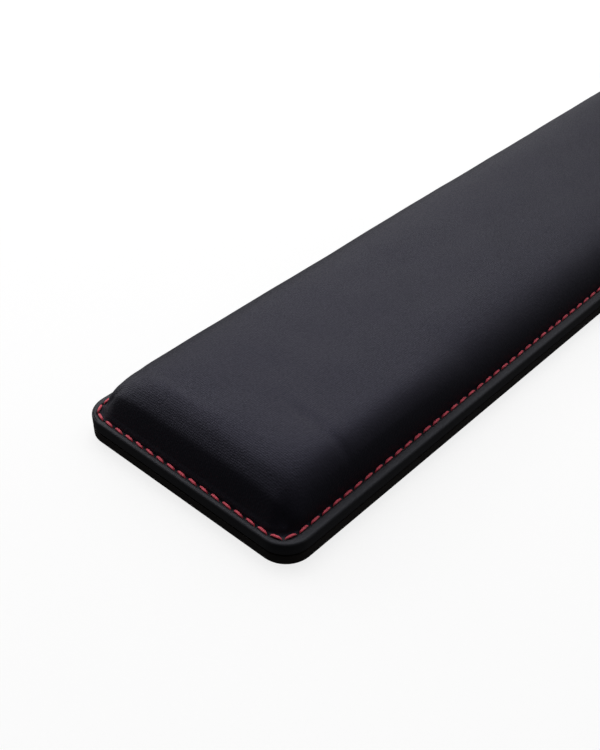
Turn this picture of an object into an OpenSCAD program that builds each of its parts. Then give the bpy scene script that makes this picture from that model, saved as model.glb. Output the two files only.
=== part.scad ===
// Padded wrist rest: a leather cushion on a stiff board, sewn round its flange,
// on a rubber base. Millimetres. X runs along the keyboard, Y from the user to
// the keyboard, Z up. The origin is the middle of the underside.

/* [Overall] */
// Length along the keyboard
length = 440; // [340:5:460]
// Depth from the user's edge to the keyboard's edge
width = 90; // [80:1:105]
// Outer corner radius, seen from above
corner_r = 9; // [7:0.5:12]

/* [Layers] */
// Thickness of the rubber base
rubber_t = 3.1; // [2:0.1:4]
// Thickness of the foam tape that holds the rubber
base_tape_t = 0.25; // [0.2:0.05:0.5]
// Thickness of the leather
leather_t = 0.9; // [0.7:0.05:1.1]
// Thickness of the glue film under the board
hem_glue_t = 0.1; // [0.05:0.05:0.2]
// Thickness of the stiffener board
board_t = 2.4; // [2:0.1:4]
// Thickness of the tape under the foam
foam_tape_t = 0.15; // [0.1:0.05:0.3]

/* [Cushion] */
// Height of the cushion's crown above the flange
cushion_rise = 14.7; // [10:0.1:18]
// How square the cushion's shoulder is
shoulder_power = 5.8; // [3:0.2:8]
// How much more steeply the ends of the cushion start than its sides
end_power = 1.1; // [1:0.1:1.6]
// How fast the corners widen, in plan, as the cushion rises
corner_soften = 1; // [0.5:0.1:1.2]

/* [Edge and seam] */
// Distance from the user's edge to the seam
seam_inset_front = 3.4; // [2.5:0.1:4]
// Distance from the keyboard's edge to the seam
seam_inset_back = 2.7; // [2.5:0.1:4]
// Distance from the short edges to the seam
seam_inset_end = 2.1; // [2.1:0.1:4]
// Corner radius of the seam
seam_r = 5.2; // [3:0.1:6]
// Radius of the leather's fold round the board
fold_r = 0.8; // [0.5:0.1:0.9]
// Width of the hem turned under the board
hem_w = 9; // [8:0.5:14]
// Depth of the furrow that the seam pulls into the leather
furrow_depth = 0.3; // [0.1:0.05:0.4]
// Nominal stitch length
stitch_pitch = 4.75; // [3.5:0.05:6]
// Share of the stitch length that shows between two needle holes
stitch_share = 0.86; // [0.7:0.02:0.9]
// Diameter of the needle thread
thread_d = 0.8; // [0.5:0.05:0.9]
// Diameter of the bobbin thread
bobbin_d = 0.5; // [0.3:0.05:0.6]

/* [Hidden] */

// Heights of the layers, from the desk up
hem_z = rubber_t + base_tape_t;
glue_z = hem_z + leather_t;
board_z = glue_z + hem_glue_t;
board_top_z = board_z + board_t;
flange_z = board_top_z + leather_t;
foam_z = board_top_z + foam_tape_t;

fit_gap = 0.05;             // air between two layers that touch
tape_setback = 1.2;         // how far the foam tape stays inside the edge
furrow_half_w = 0.5;        // half the flat floor of the seam's furrow
furrow_lip = 0.5;           // width of the slope from the furrow up to the flange
cushion_start = 0.8;        // from the seam to the foot of the cushion
seam_half = (width - seam_inset_front - seam_inset_back) / 2;
seam_shift = (seam_inset_front - seam_inset_back) / 2;      // towards the keyboard
crown_half = seam_half - cushion_start;                     // foot to ridge
last_crown_step = 0.94;     // share of crown_half where the flat cap begins
end_reach = 1.45;           // length of an end's rise, over that of a side
max_roundness = 0.9;        // corner radius of an inner ring, over its half width
crown_steps = 15;
fold_steps = 3;
arc_steps = 8;              // facets in each plan corner
ring_size = 4 * (arc_steps + 1);
smooth = 32;                // segments of a round thread

// ---- outlines ----

// One closed ring of points, anticlockwise from above: a rounded rectangle of
// half sizes x and y, with corner radius r, at height z, shifted along Y.
function ring(x, y, r, z, shift = 0) =
    [for (corner = [0:3], k = [0:arc_steps])
        let (a = 90 * (corner + k / arc_steps))
        [(corner % 3 == 0 ? 1 : -1) * (x - r) + r * cos(a),
         (corner < 2 ? 1 : -1) * (y - r) + r * sin(a) + shift, z]];

// A ring measured inwards from the outer edge
function edge_ring(inset, z) =
    ring(length / 2 - inset, width / 2 - inset, max(corner_r - inset, 1), z);

// A ring measured inwards from the seam, with its ends moved in a further
// end_shift; its corners soften until the ring's ends are nearly half round
function seam_ring(d, z, end_shift = 0) =
    let (r = seam_r + (d > 0 ? corner_soften * d : -d), y = seam_half - d)
    ring(length / 2 - seam_inset_end - d - end_shift, y,
         min(r, max_roundness * y), z, seam_shift);

// Section of the cushion: distance from the seam, and height, at share u of
// the way from its foot to its ridge
function crown_point(u) =
    [cushion_start + crown_half * u,
     flange_z - furrow_depth
     + (cushion_rise + furrow_depth) * sqrt(1 - pow(1 - u, shoulder_power))];

function unit(v) = v / norm(v);

// The same section moved inwards, square to the surface, by depth
function crown_inside(u, depth) =
    let (nudge = 0.001,
         along = crown_point(min(u + nudge, 1)) - crown_point(max(u - nudge, 0)))
    crown_point(u) - depth * unit([-along.y, along.x]);

// Shares at which the crown is drawn, closest together on the steep side
function crown_share(k) = last_crown_step * pow(k / crown_steps, 2);

// Level k of the crown, depth below its skin; the ends rise more steeply at
// first than the sides, and then take longer to reach the ridge
function crown_ring(k, depth) =
    let (u = crown_share(k), p = crown_inside(u, depth))
    seam_ring(p.x, p.y, crown_half * (end_reach * pow(u, end_power) - u));

// ---- solids made of rings ----

// Joins rings from the top cap, down the outside, to the last ring's cap
module loft(rings) {
    n = ring_size;
    m = len(rings);
    function at(j, i) = j * n + i % n;
    polyhedron(
        points = [for (r = rings) each r],
        faces = concat(
            [[for (i = [n - 1:-1:0]) i]],
            [for (j = [0:m - 2], i = [0:n - 1], half = [0:1])
                half == 0
                    ? [at(j, i), at(j, i + 1), at(j + 1, i + 1)]
                    : [at(j, i), at(j + 1, i + 1), at(j + 1, i)]],
            [[for (i = [0:n - 1]) at(m - 1, i)]]));
}

// A flat sheet with true round corners, inset from the outer edge
module sheet_outline(inset) {
    r = max(corner_r - inset, 1);
    mid_x = length / 2 - inset - r;
    mid_y = width / 2 - inset - r;
    square([2 * mid_x, 2 * (mid_y + r)], center = true);
    square([2 * (mid_x + r), 2 * mid_y], center = true);
    for (x = [-mid_x, mid_x], y = [-mid_y, mid_y])
        translate([x, y]) circle(r, $fn = 64);
}

module sheet(inset, z, t) {
    translate([0, 0, z]) linear_extrude(t) sheet_outline(inset);
}

// ---- seam path ----

seam_x = length / 2 - seam_inset_end - seam_r;      // corner centres
seam_y = seam_half - seam_r;
seam_arc = PI / 2 * seam_r;
seam_length = 4 * (seam_x + seam_y) + 4 * seam_arc;
stitch_count = round(seam_length / stitch_pitch);
stitch_step = seam_length / stitch_count;

// The seam's legs round its own centre, each [length, start, heading, bend],
// where bend is 0 on a straight leg and 90 on a whole corner
seam_legs = [
    [seam_arc / 2, [-seam_x, -seam_y], 225, 45],
    [2 * seam_x, [-seam_x, -seam_y - seam_r], 0, 0],
    [seam_arc, [seam_x, -seam_y], 270, 90],
    [2 * seam_y, [seam_x + seam_r, -seam_y], 90, 0],
    [seam_arc, [seam_x, seam_y], 0, 90],
    [2 * seam_x, [seam_x, seam_y + seam_r], 180, 0],
    [seam_arc, [-seam_x, seam_y], 90, 90],
    [2 * seam_y, [-seam_x - seam_r, seam_y], 270, 0],
    [seam_arc / 2, [-seam_x, -seam_y], 180, 45]];

// The seam starts at the middle of the user's left corner, and runs
// anticlockwise. A straight leg gives its start and heading; a corner leg its
// centre and the angle at which it starts.
function seam_point(s, leg = 0) =
    let (g = seam_legs[leg], last = leg == len(seam_legs) - 1)
    s > g[0] && !last
        ? seam_point(s - g[0], leg + 1)
        : g[3] == 0
            ? g[1] + s * [cos(g[2]), sin(g[2])]
            : let (a = g[2] + g[3] * s / g[0]) g[1] + seam_r * [cos(a), sin(a)];

// ---- sub-parts, from the desk up ----

// Rubber sheet that grips the desk
module anti_slip_base() {
    color([0.07, 0.065, 0.065]) sheet(0, 0, rubber_t);
}

// Foam tape, set back so that a fine groove shows round the edge
module base_tape() {
    color([0.1, 0.1, 0.1]) sheet(tape_setback, rubber_t, base_tape_t);
}

// Sheet that levels the underside inside the hem
module hem_filler() {
    color([0.25, 0.25, 0.26]) sheet(hem_w + 0.5, hem_z, leather_t);
}

// Glue band between the hem and the board
module hem_glue() {
    color([0.85, 0.8, 0.6])
        translate([0, 0, glue_z]) linear_extrude(hem_glue_t)
            difference() {
                sheet_outline(leather_t + fit_gap);
                sheet_outline(hem_w);
            }
}

// Stiff board that the leather is folded round
module stiffener_board() {
    color([0.3, 0.29, 0.28]) sheet(leather_t + fit_gap, board_z, board_t);
}

// Tape that holds the foam on the board
module foam_tape() {
    depth = leather_t + fit_gap + 1;
    color([0.8, 0.8, 0.75])
        loft([seam_ring(cushion_start + depth, foam_z),
              seam_ring(cushion_start + depth, board_top_z)]);
}

// Slow-recovery foam that gives the cushion its shape
module foam_pad() {
    depth = leather_t + fit_gap;
    foot = crown_inside(0, depth);
    color([0.92, 0.9, 0.82])
        loft(concat(
            [for (k = [crown_steps:-1:1]) crown_ring(k, depth)],
            [seam_ring(foot.x, foam_z)]));
}

// One skin: crown, seam furrow, flange, fold round the board, and hem
module leather_cover() {
    channel_half = bobbin_d / 2 + fit_gap;
    channel_z = hem_z + bobbin_d + fit_gap;
    foot = crown_inside(0, leather_t);
    color([0.06, 0.06, 0.065])
        loft(concat(
            [for (k = [crown_steps:-1:0]) crown_ring(k, 0)],
            [seam_ring(-furrow_half_w, flange_z - furrow_depth),
             seam_ring(-furrow_half_w - furrow_lip, flange_z)],
            [for (k = [0:fold_steps])
                let (a = 90 * k / fold_steps)
                edge_ring(fold_r * (1 - sin(a)), flange_z - fold_r * (1 - cos(a)))],
            [for (k = [0:fold_steps])
                let (a = 90 * k / fold_steps)
                edge_ring(fold_r * (1 - cos(a)), hem_z + fold_r * (1 - sin(a)))],
            [seam_ring(-channel_half, hem_z),
             seam_ring(-channel_half, channel_z),
             seam_ring(channel_half, channel_z),
             seam_ring(channel_half, hem_z),
             edge_ring(hem_w, hem_z),
             edge_ring(hem_w, glue_z),
             edge_ring(leather_t, glue_z),
             edge_ring(leather_t, board_top_z),
             seam_ring(foot.x, board_top_z)],
            [for (k = [1:crown_steps]) crown_ring(k, leather_t)]));
}

// One plump stitch, lying along X
module stitch() {
    half = stitch_step * stitch_share / 2;
    r = thread_d / 2;
    rotate([0, 90, 0])
        rotate_extrude($fn = smooth)
            polygon([[0, -half], [0.55 * r, -half], [r, -0.55 * half],
                     [r, 0.55 * half], [0.55 * r, half], [0, half]]);
}

// The row of top stitches
module needle_thread() {
    color([0.78, 0.12, 0.16])
        for (i = [0:stitch_count - 1]) {
            start = seam_point(i * stitch_step);
            run = seam_point((i + 1) * stitch_step) - start;
            translate([start.x + run.x / 2, start.y + run.y / 2 + seam_shift,
                       flange_z - furrow_depth + fit_gap + thread_d / 2])
                rotate(atan2(run.y, run.x)) stitch();
        }
}

// The lower thread, one loop in its channel under the hem
module bobbin_thread() {
    z = hem_z + bobbin_d / 2 + fit_gap / 2;
    r = bobbin_d / 2;
    color([0.08, 0.08, 0.08])
        translate([0, seam_shift, z]) {
            for (side = [-1, 1]) {
                translate([-seam_x, side * (seam_y + seam_r), 0])
                    rotate([0, 90, 0]) cylinder(h = 2 * seam_x, r = r, $fn = smooth);
                translate([side * (seam_x + seam_r), seam_y, 0])
                    rotate([90, 0, 0]) cylinder(h = 2 * seam_y, r = r, $fn = smooth);
            }
            for (corner = [0:3])
                translate([(corner % 3 == 0 ? 1 : -1) * seam_x,
                           (corner < 2 ? 1 : -1) * seam_y, 0])
                    rotate(90 * corner)
                        rotate_extrude(angle = 90, $fn = 64)
                            translate([seam_r, 0]) circle(r, $fn = smooth);
        }
}

anti_slip_base();
base_tape();
hem_filler();
hem_glue();
stiffener_board();
foam_tape();
foam_pad();
leather_cover();
needle_thread();
bobbin_thread();
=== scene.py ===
import math

import bmesh
import bpy
import numpy as np
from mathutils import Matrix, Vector


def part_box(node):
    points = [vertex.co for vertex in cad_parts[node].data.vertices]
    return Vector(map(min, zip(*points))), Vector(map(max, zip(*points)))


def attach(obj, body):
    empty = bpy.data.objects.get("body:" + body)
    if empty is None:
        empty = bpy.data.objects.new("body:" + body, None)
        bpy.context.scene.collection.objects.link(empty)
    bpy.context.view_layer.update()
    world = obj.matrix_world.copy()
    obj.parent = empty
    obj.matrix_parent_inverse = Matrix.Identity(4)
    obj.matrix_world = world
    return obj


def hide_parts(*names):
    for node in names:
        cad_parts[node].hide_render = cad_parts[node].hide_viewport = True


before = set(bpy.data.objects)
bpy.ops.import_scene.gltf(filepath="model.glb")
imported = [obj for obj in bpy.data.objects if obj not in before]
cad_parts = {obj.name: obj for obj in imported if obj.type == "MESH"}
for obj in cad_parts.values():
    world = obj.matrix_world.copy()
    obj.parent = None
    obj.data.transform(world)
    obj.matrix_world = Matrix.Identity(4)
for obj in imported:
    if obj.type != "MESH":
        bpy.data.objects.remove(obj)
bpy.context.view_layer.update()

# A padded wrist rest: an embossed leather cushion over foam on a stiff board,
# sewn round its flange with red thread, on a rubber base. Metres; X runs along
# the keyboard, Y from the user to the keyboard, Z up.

MM = 0.001

# ---------------------------------------------------------------- sizes
# Read from the frame

cover_low, cover_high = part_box("leather_cover")
thread_low, thread_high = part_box("needle_thread")
board_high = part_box("stiffener_board")[1]
filler_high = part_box("hem_filler")[1]

HALF_X, HALF_Y = cover_high.x, cover_high.y
HEM_Z = cover_low.z
GLUE_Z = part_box("hem_glue")[0].z
LEATHER_T = GLUE_Z - HEM_Z
BOARD_TOP_Z = board_high.z
FLANGE_Z = BOARD_TOP_Z + LEATHER_T
RISE = cover_high.z - FLANGE_Z              # of the crown above the flange
FOAM_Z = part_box("foam_pad")[0].z
THREAD_D = thread_high.z - thread_low.z
SEAM_X = thread_high.x - THREAD_D / 2       # half the seam's length and depth
SEAM_Y = (thread_high.y - thread_low.y - THREAD_D) / 2
SEAM_SHIFT = (thread_high.y + thread_low.y) / 2
HEM_GAP = 0.5 * MM          # between the hem and the filler inside it
HEM_W = HALF_X - filler_high.x - HEM_GAP

# Of the leather
SEAM_R = 5.2 * MM           # corner radius of the seam
CORNER_R = 9 * MM           # corner radius of the flange
FOLD_R = 0.8 * MM           # the leather's fold round the board
FURROW = 0.3 * MM           # depth of the furrow along the seam
FLANGE_START = 1.2 * MM     # from the seam out to the flat of the flange
FOOT = 0.8 * MM             # from the seam to the foot of the cushion
SHOULDER = 5.8              # how square the shoulders along the long sides are
JOINT_H = 1.5 * MM          # height over the flange where cushion and seam band meet
JOINT_R = 8 * MM            # corner radius there
CAP_INSET = 14 * MM         # from the seam to the gently curved top
MESH_SOFTEN = 1.0           # how fast the mesh's rings gain corner radius as they rise
MAX_ROUND = 0.9             # widest such corner, as a share of the half depth
FOAM_GAP = 0.05 * MM        # between the foam and the leather
FOAM_EDGE = 1 * MM          # least height of the foam's side above its underside

# Outline of the cushion's ends: inset from the seam, and share of the rise.
# A steep wall, a soft shoulder, a facet, and a slow rise to the top.
END_OUTLINE = [
    (0.8 * MM, -FURROW / RISE),
    (1.5 * MM, 0.08),
    (4.9 * MM, 0.565),
    (6.2 * MM, 0.655),
    (8.4 * MM, 0.757),
    (10.5 * MM, 0.845),
    (12.9 * MM, 0.902),
    (17.3 * MM, 0.966),
    (24.3 * MM, 0.993),
    (60 * MM, 1.0),
]

# Of the stitches
STITCH = 4.75 * MM
STITCH_SHARE = 0.82         # share of a stitch's length that shows
STITCH_Z = FLANGE_Z - 0.12 * MM + THREAD_D / 2      # of a stitch's middle
SINK = 0.6 * MM             # how far its ends sink into their holes
END_SLANT = math.radians(-7)        # of stitches on the short ends
SIDE_SLANT = math.radians(3.5)      # and on the long sides
PLIES = 3
PLY_DEPTH = 0.16            # of the grooves between plies, as a share of the radius
TWIST = 3.4                 # radians the plies turn from a stitch's middle to its end
TAPER = 0.65                # how much thinner a stitch is at its ends
PRESSED_W, PRESSED_H = 1.18, 0.86   # how its own pull widens and lowers its section

# Of the meshes
ARC_CELLS = 16              # cells round each corner
LONG_CELLS, SHORT_CELLS = 220, 40
FINE = 3                    # cells of the seam band for each cell of the cushion
WALL_RINGS = 30             # from the joint up to the cap
INNER_STEP = 3              # of these, one in so many goes on to the lining and the foam
STITCH_RINGS, STITCH_SIDES = 17, 18
CROWD = 0.5                 # how much closer the cells lie near the ends

# ---------------------------------------------------------------- seam path
# s is the distance along the seam, from the middle of the user's left corner,
# anticlockwise from above.

MID_X, MID_Y = SEAM_X - SEAM_R, SEAM_Y - SEAM_R
ARC = math.pi / 2 * SEAM_R
SEAM_LENGTH = 4 * (MID_X + MID_Y + ARC)
STITCHES = round(SEAM_LENGTH / STITCH)
STEP = SEAM_LENGTH / STITCHES


def crowded(t, crowd):
    """Shares from 0 to 1, moved closer together near both ends."""
    return t - crowd * np.sin(2 * math.pi * t) / (2 * math.pi)


def loop(fine):
    """Points round a rounded rectangle, anticlockwise from the middle of a corner.

    For each point: its shares of the corner centres' x and y, the outward
    normal, and s.
    """
    corners = np.array([(-1, -1), (1, -1), (1, 1), (-1, 1)], float)
    sides = [(2 * MID_X, LONG_CELLS, CROWD), (2 * MID_Y, SHORT_CELLS, 0)] * 2
    share, normal, s = [], [], []
    start = -ARC / 2
    for k, (length, cells, crowd) in enumerate(sides):
        here, after = corners[k], corners[(k + 1) % 4]
        t = np.arange(ARC_CELLS * fine) / (ARC_CELLS * fine)
        a = math.pi * (1 + (k + t) / 2)
        share.append(np.tile(here, (len(t), 1)))
        normal.append(np.stack([np.cos(a), np.sin(a)], 1))
        s.append(start + ARC * t)
        start += ARC
        t = crowded(np.arange(cells * fine) / (cells * fine), crowd)
        share.append(here + (after - here) * t[:, None])
        normal.append(np.tile((here + after) / 2, (len(t), 1)))
        s.append(start + length * t)
        start += length
    first = ARC_CELLS // 2 * fine
    return [np.roll(np.concatenate(part), -first, axis=0) for part in (share, normal, s)]


def ring(frame_of, half_x, half_y, r, z, shift=0.0):
    """A rounded rectangle of these half sizes and corner radius, at height z."""
    share, normal = frame_of[:2]
    flat = share * np.array([half_x - r, half_y - r]) + normal * r + np.array([0, shift])
    return np.column_stack([flat, np.full(len(flat), z)])


def seam_ring(frame_of, inset, z):
    """A ring near the seam; a positive inset is towards the cushion."""
    r = SEAM_R + inset * ((JOINT_R - SEAM_R) / FOOT if inset > 0 else -1)
    return ring(frame_of, SEAM_X - inset, SEAM_Y - inset, r, z, SEAM_SHIFT)


def edge_ring(frame_of, inset, z):
    """A ring measured in from the flange's edge."""
    r = max(CORNER_R - inset, MM)
    return ring(frame_of, HALF_X - inset, HALF_Y - inset, r, z)


COARSE, DENSE = loop(1), loop(FINE)


# ---------------------------------------------------------------- mesh helpers

def make_piece(name, points, faces, materials, uv=None):
    """A smooth-shaded mesh that rides on the body; uv is in metres along its surface."""
    mesh = bpy.data.meshes.new(name)
    mesh.from_pydata([tuple(p) for p in points], [], faces)
    mesh.update()
    for material in materials:
        mesh.materials.append(material)
    if uv is not None:
        corners = np.zeros(len(mesh.loops), np.int32)
        mesh.loops.foreach_get("vertex_index", corners)
        mesh.uv_layers.new(name="surface").data.foreach_set("uv", uv[corners].ravel())
    mesh.shade_smooth()
    piece = bpy.data.objects.new(name, mesh)
    bpy.context.scene.collection.objects.link(piece)
    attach(piece, "root")
    return piece


def band(upper, lower):
    """Faces between two closed rings of vertex numbers, facing out.

    One ring may have several points for each point of the other.
    """
    cells = min(len(upper), len(lower))
    up, low = len(upper) // cells, len(lower) // cells
    faces = []
    for k in range(cells):
        top = [upper[(k * up + m) % len(upper)] for m in range(up + 1)]
        bottom = [lower[(k * low + m) % len(lower)] for m in range(low + 1)]
        faces.append(tuple(bottom + top[::-1]))
    return faces


def vertex_normals(points, faces):
    """Normals that Blender gives the points of a mesh."""
    mesh = bpy.data.meshes.new("normals")
    mesh.from_pydata([tuple(p) for p in points], [], faces)
    mesh.update()
    normals = np.zeros(len(points) * 3, np.float32)
    mesh.vertices.foreach_get("normal", normals)
    bpy.data.meshes.remove(mesh)
    return normals.reshape(-1, 3)


# ---------------------------------------------------------------- cushion shape
# Level u runs from 0 at the cushion's foot to 1 at its ridge. At each level the
# cushion is a rounded rectangle.

def corner_cut(points, passes=6):
    """A smooth curve that a polygon of control points guides."""
    points = np.array(points)
    for _ in range(passes):
        a, b = points[:-1], points[1:]
        cut = np.stack([0.75 * a + 0.25 * b, 0.25 * a + 0.75 * b], 1).reshape(-1, 2)
        points = np.concatenate([points[:1], cut, points[-1:]])
    return points


def arc_excess(inset, height):
    """How much longer the section is than its plan, from the ridge out to each level."""
    extra = np.hypot(np.diff(inset), np.diff(height)) - np.abs(np.diff(inset))
    return np.append(np.cumsum(extra[::-1])[::-1], 0)


U = np.linspace(0, 1, 4001) ** 2
LEVEL_H = -FURROW + (RISE + FURROW) * np.sqrt(1 - (1 - U) ** SHOULDER)
SIDE_INSET = FOOT + (SEAM_Y - FOOT) * U
END_CURVE = corner_cut(END_OUTLINE)
END_INSET = np.interp(LEVEL_H, RISE * END_CURVE[:, 1], END_CURVE[:, 0])
SOFT_R = JOINT_R + MESH_SOFTEN * (SIDE_INSET - FOOT)
WIDEST_R = MAX_ROUND * (SEAM_Y - SIDE_INSET) + 0.1 * MM
LEVEL_R = (SOFT_R ** -6 + WIDEST_R ** -6) ** (-1 / 6)       # the smaller, blended smoothly
SIDE_EXCESS = arc_excess(SIDE_INSET, LEVEL_H)
END_EXCESS = arc_excess(END_INSET, LEVEL_H)


def at_level(values, u):
    """Reads one of the level arrays at level u."""
    return np.interp(np.sqrt(u), np.sqrt(U), values)


def level_ring(frame_of, u):
    """The ring of the cushion's skin at level u."""
    line = ring(frame_of, SEAM_X - at_level(END_INSET, u), SEAM_Y - at_level(SIDE_INSET, u),
                at_level(LEVEL_R, u), 0, SEAM_SHIFT)
    line[:, 2] = surface_z(line[:, 0], line[:, 1] - SEAM_SHIFT)
    return line


def surface_z(x, y):
    """Height of the cushion's skin; the sections of end and side multiply at the corners."""
    rim_x = SEAM_X - np.interp(JOINT_H, LEVEL_H, END_INSET)
    rim_y = SEAM_Y - np.interp(JOINT_H, LEVEL_H, SIDE_INSET)
    mid_x, mid_y = rim_x - JOINT_R, rim_y - JOINT_R
    qx, qy = np.maximum(np.abs(x) - mid_x, 0), np.maximum(np.abs(y) - mid_y, 0)
    # The round corner of the rim stands for a square one
    corner = (qx > 0) & (qy > 0)
    stretch = np.where(corner, np.hypot(qx, qy) / np.maximum(np.maximum(qx, qy), 1e-9), 1)
    end_at = SEAM_X - np.where(corner, mid_x + qx * stretch, np.abs(x))
    side_at = SEAM_Y - np.where(corner, mid_y + qy * stretch, np.abs(y))
    end = np.interp(end_at, END_INSET, LEVEL_H) - JOINT_H
    side = np.interp(side_at, SIDE_INSET, LEVEL_H) - JOINT_H
    share = np.clip(end, 0, None) * np.clip(side, 0, None) / (RISE - JOINT_H) ** 2
    return FLANGE_Z + JOINT_H + (RISE - JOINT_H) * share


def find_level(x, y):
    """Level and outward normal, in plan, of the cushion's ring through each (x, y)."""
    low, high = np.zeros_like(x), np.ones_like(x)
    for _ in range(40):
        u = (low + high) / 2
        r = at_level(LEVEL_R, u)
        over_x = np.abs(x) - (SEAM_X - at_level(END_INSET, u) - r)
        over_y = np.abs(y) - (SEAM_Y - at_level(SIDE_INSET, u) - r)
        nx, ny = np.maximum(over_x, 0), np.maximum(over_y, 0)
        outside = np.hypot(nx, ny) + np.minimum(np.maximum(over_x, over_y), 0) > r
        low, high = np.where(outside, low, u), np.where(outside, u, high)
    size = np.maximum(np.hypot(nx, ny), 1e-9)
    return u, np.stack([np.sign(x) * nx / size, np.sign(y) * ny / size], -1)


def sheet_place(flat, normal, u):
    """Place on the leather sheet, before it was bent over the foam."""
    excess = np.stack([at_level(END_EXCESS, u), at_level(SIDE_EXCESS, u)], -1)
    return flat + normal * excess


def wall_levels():
    """Levels of the wall's rings, evenly spaced along the section, cap first."""
    length = np.concatenate([[0], np.cumsum(np.hypot(np.diff(SIDE_INSET), np.diff(LEVEL_H)))])
    joint = np.interp(JOINT_H, LEVEL_H, length)
    cap = np.interp(CAP_INSET, SIDE_INSET, length)
    return np.interp(np.linspace(cap, joint, WALL_RINGS + 1), length, U)


def cap_plan(u):
    """Plan of the cap inside the ring at level u, as arrays x[i, j] and y[i, j]."""
    r = at_level(LEVEL_R, u)
    mid_x = SEAM_X - at_level(END_INSET, u) - r
    mid_y = SEAM_Y - at_level(SIDE_INSET, u) - r
    turn = np.tan(np.arange(1, ARC_CELLS // 2 + 1) / ARC_CELLS * math.pi / 2)

    def lines(mid, cells, crowd):
        middle = mid * (2 * crowded(np.arange(cells + 1) / cells, crowd) - 1)
        return np.concatenate([-(mid + r * turn[::-1]), middle, mid + r * turn])

    x, y = np.meshgrid(lines(mid_x, LONG_CELLS, CROWD), lines(mid_y, SHORT_CELLS, 0),
                       indexing="ij")
    # Square corners become round ones
    qx, qy = np.maximum(np.abs(x) - mid_x, 0), np.maximum(np.abs(y) - mid_y, 0)
    corner = (qx > 0) & (qy > 0)
    scale = np.where(corner, np.maximum(qx, qy) / np.maximum(np.hypot(qx, qy), 1e-12), 1)
    return (np.where(corner, np.sign(x) * (mid_x + qx * scale), x),
            np.where(corner, np.sign(y) * (mid_y + qy * scale), y))


def border_of(numbers):
    """The cap's border, anticlockwise from the user's left corner."""
    last_i, last_j = numbers.shape[0] - 1, numbers.shape[1] - 1
    return (list(numbers[:last_i, 0]) + list(numbers[last_i, :last_j])
            + list(numbers[last_i:0:-1, last_j]) + list(numbers[0, last_j:0:-1]))


def cap_faces(numbers, flip=False):
    quads = np.stack([numbers[:-1, :-1], numbers[1:, :-1], numbers[1:, 1:], numbers[:-1, 1:]], -1)
    quads = quads.reshape(-1, 4)
    return [tuple(int(v) for v in (quad[::-1] if flip else quad)) for quad in quads]


# Creases and ridges of the padding, in millimetres: where each one runs, how
# deep it is (a ridge is negative), and how wide
CREASES = [
    ([(-204.5, 42), (-204, 20), (-203.5, -4)], -0.30, 2.0),
    ([(-200, 44), (-199.5, 20), (-199, -2)], 0.26, 1.8),
    ([(-183.5, -5), (-184.5, -14), (-186, -24)], 0.16, 1.4),
    ([(-185.2, -15), (-186.8, -28), (-187.2, -42)], 0.50, 1.3),
    ([(-181, -12), (-182.5, -24), (-184, -40)], -0.20, 3.5),
    ([(-196, 10), (-191, 3), (-188, -10)], 0.10, 2.0),
    ([(-208, -37.5), (-166, -38), (-128, -37.5)], -1.9, 9),
    ([(-96, 37), (-60, 36), (-20, 37)], -0.25, 7.0),
    ([(20, -37), (64, -36), (96, -37)], -0.3, 7.0),
    ([(205, -34), (204, -8), (204.5, 22)], -0.18, 2.4),
    ([(186, 12), (184.5, 24), (186.5, 42)], 0.40, 1.7),
    ([(120, 36.5), (160, 37), (204, 36.5)], -0.5, 8.0),
]

# Gentle hollows and swellings of the padding: waves per metre along x and y,
# phase, and height in millimetres
SWELLS = [
    (23, 9, 0.4, 0.09),
    (-14, 21, 2.1, 0.09),
    (37, -26, 4.0, 0.05),
    (9, 44, 1.2, 0.05),
    (52, 17, 5.1, 0.04),
]

# Shares of the cushion's rise between which swells and creases fade in
SWELL_FADE = (0.3, 1.0)
CREASE_FADE = (0.15, 0.5)


def fade_in(share, limits):
    low, high = limits
    return np.clip((share - low) / (high - low), 0, 1)


def uneven(x, y, z):
    """Height that the padding's unevenness adds, fading out down the walls."""
    height = sum(high * MM * np.sin(2 * math.pi * (kx * x + ky * y) + phase)
                 for kx, ky, phase, high in SWELLS)
    share = (z - FLANGE_Z) / RISE
    return height * fade_in(share, SWELL_FADE) - crease_depth(x, y) * fade_in(share, CREASE_FADE)


def crease_depth(x, y):
    """Summed depth of the creases; each is deepest at its middle and fades to its ends."""
    depth = np.zeros_like(x)
    for line, deep, wide in CREASES:
        path = corner_cut(line, 3) * MM
        best = np.full_like(x, np.inf)
        fade = np.zeros_like(x)
        lengths = np.hypot(*np.diff(path, axis=0).T)
        total, gone = lengths.sum(), 0.0
        for a, b, length in zip(path[:-1], path[1:], lengths):
            run = (b - a) / length
            t = (x - a[0]) * run[0] + (y - a[1]) * run[1]
            inside = np.clip(t, 0, length)
            away = np.hypot(x - a[0] - inside * run[0], y - a[1] - inside * run[1])
            nearer = away < best
            best = np.where(nearer, away, best)
            along = np.clip(np.sin(math.pi * (gone + inside) / total), 0, 1)
            fade = np.where(nearer, along ** 0.7, fade)
            gone += length
        depth += deep * MM * fade * np.exp(-(best / (wide * MM)) ** 2)
    return depth


def cushion_sheet():
    """Outer sheet of the cushion: points, sheet places, cap numbers and wall rows."""
    levels = wall_levels()
    x, y = cap_plan(levels[0])
    u, normal = find_level(x, y)
    z = surface_z(x, y)
    z += uneven(x, y, z)
    points = [np.stack([x, y + SEAM_SHIFT, z], -1).reshape(-1, 3)]
    places = [sheet_place(np.stack([x, y], -1), normal, u).reshape(-1, 2)]
    numbers = np.arange(x.size).reshape(x.shape)
    rows = [border_of(numbers)]
    count = x.size
    for level in levels[1:]:
        frame_of = DENSE if level == levels[-1] else COARSE
        line = level_ring(frame_of, level)
        flat = line[:, :2] - np.array([0, SEAM_SHIFT])
        line[:, 2] += uneven(*flat.T, line[:, 2])
        points.append(line)
        places.append(sheet_place(flat, frame_of[1], level))
        rows.append(list(range(count, count + len(line))))
        count += len(line)
    return np.concatenate(points), np.concatenate(places), numbers, rows


# ---------------------------------------------------------------- leather cover

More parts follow.
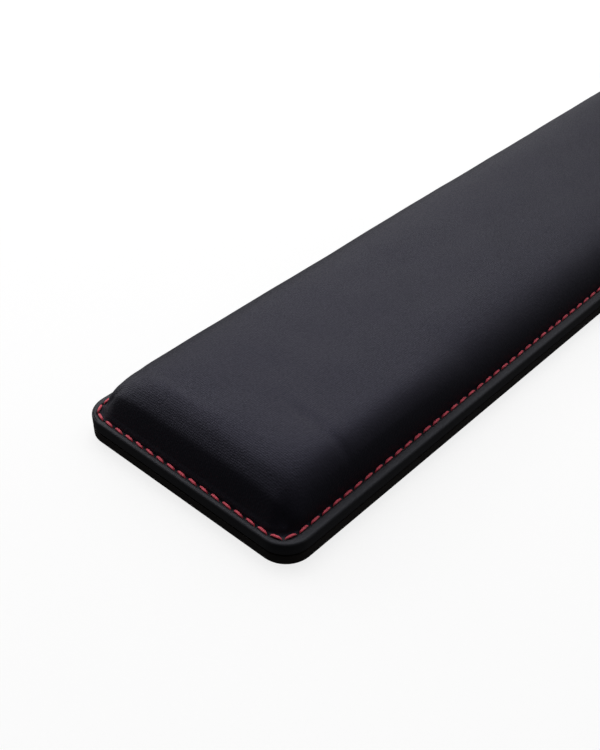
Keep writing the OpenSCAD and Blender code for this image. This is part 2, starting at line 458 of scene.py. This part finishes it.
def hole_pull(s):
    """1 at a needle hole, falling to 0 at the middle of a stitch."""
    return (0.5 + 0.5 * np.cos(2 * math.pi * s / STEP)) ** 2


EMBOSSED, SMOOTH, BACK = range(3)       # the leather's materials
EMBOSS_END = 0.3            # inset from the seam, in millimetres, where the emboss ends

# Leather from the joint to the flange, in millimetres: inset of the ring from
# the seam (negative outside it), height over the flange, and how far the thread
# pulls it down at a needle hole
SEAM_BAND = [
    (0.84, 0.80, 0.04),
    (0.74, 0.28, 0.06),
    (0.58, -0.04, 0.10),
    (0.40, -0.17, 0.16),
    (0.20, -0.22, 0.34),
    (0.00, -0.20, 0.42),
    (-0.20, -0.13, 0.24),
    (-0.38, -0.05, 0.08),
    (-0.60, -0.01, 0.02),
    (-0.90, 0.0, 0.0),
]


def flange_rings():
    """Rings from the seam band round the board to the inside of the foot."""
    quarter = np.radians([0, 22.5, 45, 67.5, 90])
    rings = [seam_ring(COARSE, -FLANGE_START, FLANGE_Z)]
    rings += [edge_ring(COARSE, FOLD_R * (1 - math.sin(a)), FLANGE_Z - FOLD_R * (1 - math.cos(a)))
              for a in quarter]
    rings += [edge_ring(COARSE, FOLD_R * (1 - math.cos(a)), HEM_Z + FOLD_R * (1 - math.sin(a)))
              for a in quarter]
    inside = [(HEM_W, HEM_Z), (HEM_W, GLUE_Z), (LEATHER_T, GLUE_Z), (LEATHER_T, BOARD_TOP_Z)]
    rings += [edge_ring(COARSE, inset, z) for inset, z in inside]
    rings.append(seam_ring(COARSE, FOOT + LEATHER_T, BOARD_TOP_Z))
    return rings


class Skin:
    """The leather's mesh, grown ring by ring from the cushion's sheet."""

    def __init__(self, points, places, faces, edge_row):
        self.points, self.places = [points], [places]
        self.faces, self.kinds = [], []
        self.add_faces(faces, EMBOSSED)
        self.count = len(points)
        self.edge_row = edge_row
        self.line, self.place = points[edge_row], places[edge_row]

    def add_faces(self, faces, kind):
        self.faces += faces
        self.kinds += [kind] * len(faces)

    def add_ring(self, line, kind):
        """Joins a ring to the last one, and lays it beyond that one on the flat sheet."""
        row = list(range(self.count, self.count + len(line)))
        self.add_faces(band(self.edge_row, row), kind)
        if len(line) < len(self.line):
            self.line, self.place = self.line[::FINE], self.place[::FINE]
        normal = (DENSE if len(line) == len(DENSE[2]) else COARSE)[1]
        step = np.linalg.norm(line - self.line, axis=1)
        self.place = self.place + normal * step[:, None]
        self.points.append(line)
        self.places.append(self.place)
        self.line, self.edge_row = line, row
        self.count += len(line)

    def close(self, points, places, numbers):
        """Ends the skin with a cap that faces inwards."""
        cap = numbers + self.count
        self.points.append(points)
        self.places.append(places)
        self.add_faces(band(self.edge_row, border_of(cap)) + cap_faces(cap, True), BACK)


def leather_cover(sheet, materials):
    """Makes the leather as one closed skin, and returns the cushion sheet's normals."""
    points, places, numbers, rows = sheet
    faces = cap_faces(numbers)
    for upper, lower in zip(rows[:-1], rows[1:]):
        faces += band(upper, lower)
    normals = vertex_normals(points, faces)
    skin = Skin(points, places, faces, rows[-1])

    pull = hole_pull(DENSE[2])
    for inset, height, depth in SEAM_BAND:
        line = seam_ring(DENSE, inset * MM, FLANGE_Z + height * MM)
        line[:, 2] -= depth * MM * pull
        skin.add_ring(line, EMBOSSED if inset > EMBOSS_END else SMOOTH)
    for line in flange_rings():
        skin.add_ring(line, SMOOTH)

    # Lining: the cushion's sheet moved inwards by the leather's thickness
    lining = points - LEATHER_T * normals
    for row in rows[-1 - INNER_STEP:0:-INNER_STEP]:
        skin.add_ring(lining[row], BACK)
    skin.close(lining[:numbers.size], places[:numbers.size], numbers)

    piece = make_piece("leather_skin", np.concatenate(skin.points), skin.faces, materials,
                       np.concatenate(skin.places))
    piece.data.polygons.foreach_set("material_index", np.array(skin.kinds, np.int32))
    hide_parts("leather_cover")
    return normals


# ---------------------------------------------------------------- foam

def foam_core(sheet, normals, material):
    """Makes the foam under the leather, closed by a flat underside."""
    points, places, numbers, rows = sheet
    deep = points - (LEATHER_T + FOAM_GAP) * normals
    used = [deep[:numbers.size]]
    faces = cap_faces(numbers)
    count = numbers.size
    edge_row = border_of(numbers)
    for row in rows[INNER_STEP:-1:INNER_STEP]:
        line = deep[row]
        # The flat underside takes the place of the lowest rings
        if line[:, 2].min() < FOAM_Z + FOAM_EDGE:
            continue
        new_row = list(range(count, count + len(line)))
        faces += band(edge_row, new_row)
        used.append(line)
        edge_row, count = new_row, count + len(line)
    base = used[-1].copy()
    base[:, 2] = FOAM_Z
    new_row = list(range(count, count + len(base)))
    faces += band(edge_row, new_row)
    used.append(base)
    faces.append(tuple(new_row[::-1]))
    piece = make_piece("foam_core", np.concatenate(used), faces, [material])
    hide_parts("foam_pad")


# ---------------------------------------------------------------- thread

def along_seam(s):
    """Points of the seam at distances s."""
    line = seam_ring(DENSE, 0.0, 0.0)
    distance = np.mod(DENSE[2], SEAM_LENGTH)
    return np.stack([np.interp(s, distance, line[:, k], period=SEAM_LENGTH) for k in (0, 1)], 1)


def stitch(hole, run, rng):
    """One stitch of twisted plies, as rings along it: points and surface places."""
    t = np.linspace(-1, 1, STITCH_RINGS)[:, None]
    phi = np.arange(STITCH_SIDES)[None, :] / STITCH_SIDES * 2 * math.pi
    heading = math.atan2(run[1], run[0])
    across = math.sin(heading) ** 2
    heading += across * END_SLANT + (1 - across) * SIDE_SLANT + rng.normal(0, 0.02)
    half = np.hypot(*run) * STITCH_SHARE / 2 * (1 + rng.normal(0, 0.015))
    plump = THREAD_D / 2 * (1 + rng.normal(0, 0.03))
    twist = phi - rng.uniform(0, 2 * math.pi) - TWIST * t
    ply = 1 - PLY_DEPTH * (1 - np.abs(np.cos(PLIES / 2 * twist)))
    r = plump * ply * (1 - TAPER * np.abs(t) ** 2.6)
    px = half * t + 0 * phi
    py = r * np.cos(phi) * PRESSED_W
    pz = STITCH_Z + r * np.sin(phi) * PRESSED_H - SINK * np.abs(t) ** 7
    c, s = math.cos(heading), math.sin(heading)
    middle = hole + run / 2
    points = np.stack([middle[0] + c * px - s * py, middle[1] + s * px + c * py, pz], -1)
    places = np.stack([px, twist * THREAD_D / 2], -1)
    return points.reshape(-1, 3), places.reshape(-1, 2)


def stitch_faces(first):
    """Faces of the closed stitch whose points begin at number first."""
    rows = [[first + m * STITCH_SIDES + k for k in range(STITCH_SIDES)]
            for m in range(STITCH_RINGS)]
    faces = []
    for upper, lower in zip(rows[:-1], rows[1:]):
        faces += band(upper, lower)
    return faces + [tuple(rows[0]), tuple(rows[-1][::-1])]


def stitch_row(material):
    """Needle stitches along the seam, each drawn into a hole at both ends."""
    rng = np.random.default_rng(7)
    holes = along_seam(np.arange(STITCHES) * STEP)
    runs = np.roll(holes, -1, axis=0) - holes
    points, places, faces = [], [], []
    for k, (hole, run) in enumerate(zip(holes, runs)):
        made = stitch(hole, run, rng)
        points.append(made[0])
        places.append(made[1])
        faces += stitch_faces(k * STITCH_RINGS * STITCH_SIDES)
    piece = make_piece("needle_stitches", np.concatenate(points), faces, [material],
                       np.concatenate(places))
    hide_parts("needle_thread")


# ---------------------------------------------------------------- materials

class Look:
    """A new node material, with short ways to add its nodes."""

    def __init__(self, name, base, roughness, specular=0.5, tint=(1, 1, 1)):
        self.material = bpy.data.materials.new(name)
        self.material.use_nodes = True
        self.nodes = self.material.node_tree.nodes
        self.links = self.material.node_tree.links
        self.shader = self.nodes["Principled BSDF"]
        self.shader.inputs["Base Color"].default_value = (*base, 1)
        self.shader.inputs["Roughness"].default_value = roughness
        self.shader.inputs["Specular IOR Level"].default_value = specular
        self.shader.inputs["Specular Tint"].default_value = (*tint, 1)
        self.place = self.nodes.new("ShaderNodeTexCoord")
        self.bump = None

    def noise(self, size, detail=4.0, space="Object", stretch=(1, 1, 1)):
        """Noise whose features are about size metres across."""
        mapping = self.nodes.new("ShaderNodeMapping")
        mapping.inputs["Scale"].default_value = stretch
        self.links.new(self.place.outputs[space], mapping.inputs["Vector"])
        node = self.nodes.new("ShaderNodeTexNoise")
        node.inputs["Scale"].default_value = 1 / size
        node.inputs["Detail"].default_value = detail
        self.links.new(mapping.outputs["Vector"], node.inputs["Vector"])
        return node.outputs["Fac"]

    def dots(self, size, randomness, space="Object"):
        """Round cells, size metres apart; 0 at their middles."""
        node = self.nodes.new("ShaderNodeTexVoronoi")
        node.inputs["Scale"].default_value = 1 / size
        node.inputs["Randomness"].default_value = randomness
        self.links.new(self.place.outputs[space], node.inputs["Vector"])
        return node.outputs["Distance"]

    def remap(self, source, low, high):
        """The source's 0 to 1 as low to high."""
        node = self.nodes.new("ShaderNodeMapRange")
        node.inputs["To Min"].default_value = low
        node.inputs["To Max"].default_value = high
        self.links.new(source, node.inputs["Value"])
        return node.outputs["Result"]

    def tint(self, source, dark, light):
        """Base colour that runs from dark to light with the source."""
        mix = self.nodes.new("ShaderNodeMix")
        mix.data_type = "RGBA"
        mix.inputs["A"].default_value = (*dark, 1)
        mix.inputs["B"].default_value = (*light, 1)
        self.links.new(source, mix.inputs["Factor"])
        self.links.new(mix.outputs["Result"], self.shader.inputs["Base Color"])

    def rough(self, source, low, high):
        self.links.new(self.remap(source, low, high), self.shader.inputs["Roughness"])

    def relief(self, source, height, strength=1.0):
        """Adds a bump, height metres deep, on top of those before it."""
        node = self.nodes.new("ShaderNodeBump")
        node.inputs["Strength"].default_value = strength
        node.inputs["Distance"].default_value = height
        self.links.new(source, node.inputs["Height"])
        if self.bump:
            self.links.new(self.bump, node.inputs["Normal"])
        self.bump = node.outputs["Normal"]
        self.links.new(self.bump, self.shader.inputs["Normal"])


COOL = (0.68, 0.66, 1.0)    # tint of the embossed leather's sheen


def embossed_leather():
    look = Look("embossed_leather", (0.0068, 0.0066, 0.0082), 0.5, 0.36, COOL)
    cloud = look.noise(22 * MM, 3, "UV")
    look.tint(cloud, (0.0058, 0.0056, 0.0070), (0.0080, 0.0077, 0.0096))
    dots = look.dots(0.66 * MM, 0.4, "UV")
    look.rough(dots, 0.38, 0.76)
    look.relief(dots, 0.10 * MM, 0.9)
    look.relief(look.noise(0.9 * MM, 3, "UV"), 0.14 * MM, 0.6)
    return look.material


def smooth_leather():
    look = Look("smooth_leather", (0.0175, 0.0179, 0.0204), 0.55, 0.34, (0.85, 0.86, 1.0))
    look.tint(look.noise(15 * MM, 3, "UV"), (0.0160, 0.0164, 0.0187), (0.0190, 0.0194, 0.0221))
    look.rough(look.noise(6 * MM, 5, "UV"), 0.50, 0.60)
    look.relief(look.noise(0.5 * MM, 6, "UV"), 0.03 * MM, 0.5)
    return look.material


def leather_back():
    look = Look("leather_back", (0.05, 0.045, 0.04), 0.95, 0.2)
    look.tint(look.noise(1.5 * MM, 6), (0.035, 0.031, 0.028), (0.07, 0.062, 0.055))
    look.relief(look.noise(0.3 * MM, 6), 0.1 * MM)
    return look.material


def red_thread():
    look = Look("red_thread_twist", (0.80, 0.09, 0.135), 0.5, 0.3)
    look.tint(look.noise(0.35 * MM, 3, "UV", (0.25, 1, 1)), (0.68, 0.06, 0.095), (0.92, 0.13, 0.18))
    look.rough(look.noise(0.3 * MM, 3, "UV"), 0.42, 0.62)
    look.relief(look.noise(0.11 * MM, 3, "UV", (0.2, 1, 1)), 0.03 * MM, 0.7)
    look.shader.inputs["Sheen Weight"].default_value = 0.1
    look.shader.inputs["Sheen Roughness"].default_value = 0.4
    return look.material


def black_thread():
    look = Look("black_thread_twist", (0.012, 0.012, 0.013), 0.5, 0.3)
    look.tint(look.noise(0.4 * MM, 3), (0.008, 0.008, 0.009), (0.018, 0.018, 0.02))
    look.relief(look.noise(0.15 * MM, 2), 0.05 * MM)
    return look.material


def foam():
    look = Look("slow_foam", (0.85, 0.8, 0.66), 0.95, 0.2)
    look.tint(look.noise(8 * MM, 4), (0.80, 0.74, 0.58), (0.90, 0.86, 0.74))
    look.relief(look.dots(0.5 * MM, 1.0), 0.3 * MM)
    return look.material


def hardboard():
    look = Look("hardboard", (0.12, 0.10, 0.085), 0.75, 0.3)
    look.tint(look.noise(1.2 * MM, 8), (0.08, 0.065, 0.055), (0.17, 0.145, 0.12))
    look.rough(look.noise(3 * MM), 0.65, 0.85)
    look.relief(look.noise(0.6 * MM, 8), 0.06 * MM)
    return look.material


def felt():
    look = Look("grey_felt", (0.055, 0.055, 0.06), 0.95, 0.2)
    look.tint(look.noise(0.8 * MM, 8), (0.035, 0.035, 0.04), (0.09, 0.09, 0.095))
    look.relief(look.noise(0.25 * MM, 8), 0.2 * MM)
    return look.material


def glue():
    look = Look("dried_glue", (0.62, 0.52, 0.28), 0.35)
    look.tint(look.noise(5 * MM), (0.5, 0.4, 0.2), (0.72, 0.63, 0.38))
    look.rough(look.noise(2 * MM), 0.25, 0.45)
    look.relief(look.noise(1.5 * MM, 3), 0.05 * MM)
    return look.material


def tape(name, dark, light):
    look = Look(name, light, 0.6, 0.3)
    look.tint(look.noise(2.5 * MM, 6), dark, light)
    look.relief(look.dots(0.3 * MM, 1.0), 0.03 * MM)
    return look.material


def rubber():
    look = Look("grip_rubber", (0.0230, 0.0196, 0.0190), 0.75, 0.25)
    look.tint(look.noise(12 * MM, 4), (0.0200, 0.0170, 0.0165), (0.0260, 0.0222, 0.0215))
    look.rough(look.noise(3 * MM, 6), 0.66, 0.84)
    look.relief(look.noise(0.35 * MM, 4), 0.05 * MM, 0.6)
    look.relief(look.dots(1.6 * MM, 0.0), 0.15 * MM, 0.5)
    return look.material


# ---------------------------------------------------------------- stage

CAMERA_PLACE = (-0.3622, -0.1794, 0.2276)
CAMERA_TURN = -47.6         # degrees from +Y, anticlockwise from above
CAMERA_DOWN = 38.7          # degrees below the horizon
LENS, SENSOR = 51.1, 36


def camera():
    data = bpy.data.cameras.new("camera")
    data.lens = LENS
    data.sensor_width = SENSOR
    data.clip_start = 0.01
    data.clip_end = 20
    cam = bpy.data.objects.new("camera", data)
    bpy.context.scene.collection.objects.link(cam)
    cam.location = CAMERA_PLACE
    turn, down = math.radians(CAMERA_TURN), math.radians(CAMERA_DOWN)
    ahead = Vector((-math.sin(turn) * math.cos(down), math.cos(turn) * math.cos(down),
                    -math.sin(down)))
    cam.rotation_mode = "QUATERNION"
    cam.rotation_quaternion = ahead.to_track_quat("-Z", "Y")
    bpy.context.scene.camera = cam


def area_light(name, place, target, size, power):
    data = bpy.data.lights.new(name, "AREA")
    data.shape = "RECTANGLE"
    data.size, data.size_y = size
    data.energy = power
    light = bpy.data.objects.new(name, data)
    bpy.context.scene.collection.objects.link(light)
    light.location = place
    light.rotation_mode = "QUATERNION"
    light.rotation_quaternion = (Vector(target) - Vector(place)).to_track_quat("-Z", "Y")
    light.visible_camera = False


# Softboxes round the object: azimuth from +X and elevation in degrees, and watts
SOFTBOXES = [
    (90, 15, 4.0),
    (90, 40, 3.9),
    (90, 65, 1.8),
    (45, 15, 1.7),
    (45, 40, 4.5),
    (45, 65, 3.8),
    (0, 15, 1.3),
    (0, 40, 1.8),
    (0, 65, 2.2),
    (315, 15, 0.6),
    (315, 40, 1.1),
]
SOFTBOX_CENTRE = Vector((-0.12, 0, 0))
SOFTBOX_DISTANCE = 1.5
SOFTBOX_SIZE = (0.9, 0.9)
WORLD_LIGHT = 0.055
FLOOR_GLOW = 0.80
BACKDROP_GLOW = 0.97
WHITE = (1, 1, 1, 1)


def lights():
    """Large soft lights that the camera doesn't see."""
    for azimuth, elevation, power in SOFTBOXES:
        a, e = math.radians(azimuth), math.radians(elevation)
        toward = Vector((math.cos(a) * math.cos(e), math.sin(a) * math.cos(e), math.sin(e)))
        area_light(f"softbox_{azimuth}_{elevation}", SOFTBOX_CENTRE + SOFTBOX_DISTANCE * toward,
                   SOFTBOX_CENTRE, SOFTBOX_SIZE, power)


def glowing(name, base, roughness, specular, glow):
    """A plain material that also gives out white light."""
    look = Look(name, base, roughness, specular)
    look.shader.inputs["Emission Color"].default_value = WHITE
    look.shader.inputs["Emission Strength"].default_value = glow
    return look.material


def stage_piece(name, material, make, **measures):
    """A mesh from one of bmesh's makers, whose glow falls on nothing."""
    mesh = bpy.data.meshes.new(name)
    shape = bmesh.new()
    make(shape, **measures)
    shape.to_mesh(mesh)
    shape.free()
    mesh.materials.append(material)
    thing = bpy.data.objects.new(name, mesh)
    bpy.context.scene.collection.objects.link(thing)
    thing.visible_diffuse = False
    thing.visible_glossy = False
    return thing


def stage():
    scene = bpy.context.scene
    scene.view_settings.view_transform = "Standard"
    scene.world = bpy.data.worlds.new("world")
    scene.world.use_nodes = True
    background = scene.world.node_tree.nodes["Background"]
    background.inputs["Color"].default_value = WHITE
    background.inputs["Strength"].default_value = WORLD_LIGHT

    paint = glowing("floor_paint", (0.26, 0.26, 0.26), 0.9, 0.1, FLOOR_GLOW)
    paper = glowing("backdrop_paper", (0, 0, 0), 1.0, 0.0, BACKDROP_GLOW)
    stage_piece("floor", paint, bmesh.ops.create_circle, cap_ends=True, segments=96, radius=4)
    backdrop = stage_piece("backdrop", paper, bmesh.ops.create_uvsphere,
                           u_segments=48, v_segments=24, radius=3.9)
    backdrop.visible_shadow = False
    lights()


def dress(node, material):
    """Gives a CAD node its material."""
    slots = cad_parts[node].data.materials
    slots.clear()
    slots.append(material)


camera()
stage()
sheet = cushion_sheet()
normals = leather_cover(sheet, [embossed_leather(), smooth_leather(), leather_back()])
foam_core(sheet, normals, foam())
stitch_row(red_thread())
dress("anti_slip_base", rubber())
dress("base_tape", tape("base_tape_film", (0.004, 0.004, 0.004), (0.007, 0.007, 0.007)))
dress("foam_tape", tape("foam_tape_film", (0.7, 0.7, 0.64), (0.85, 0.85, 0.8)))
dress("hem_filler", felt())
dress("hem_glue", glue())
dress("stiffener_board", hardboard())
dress("bobbin_thread", black_thread())
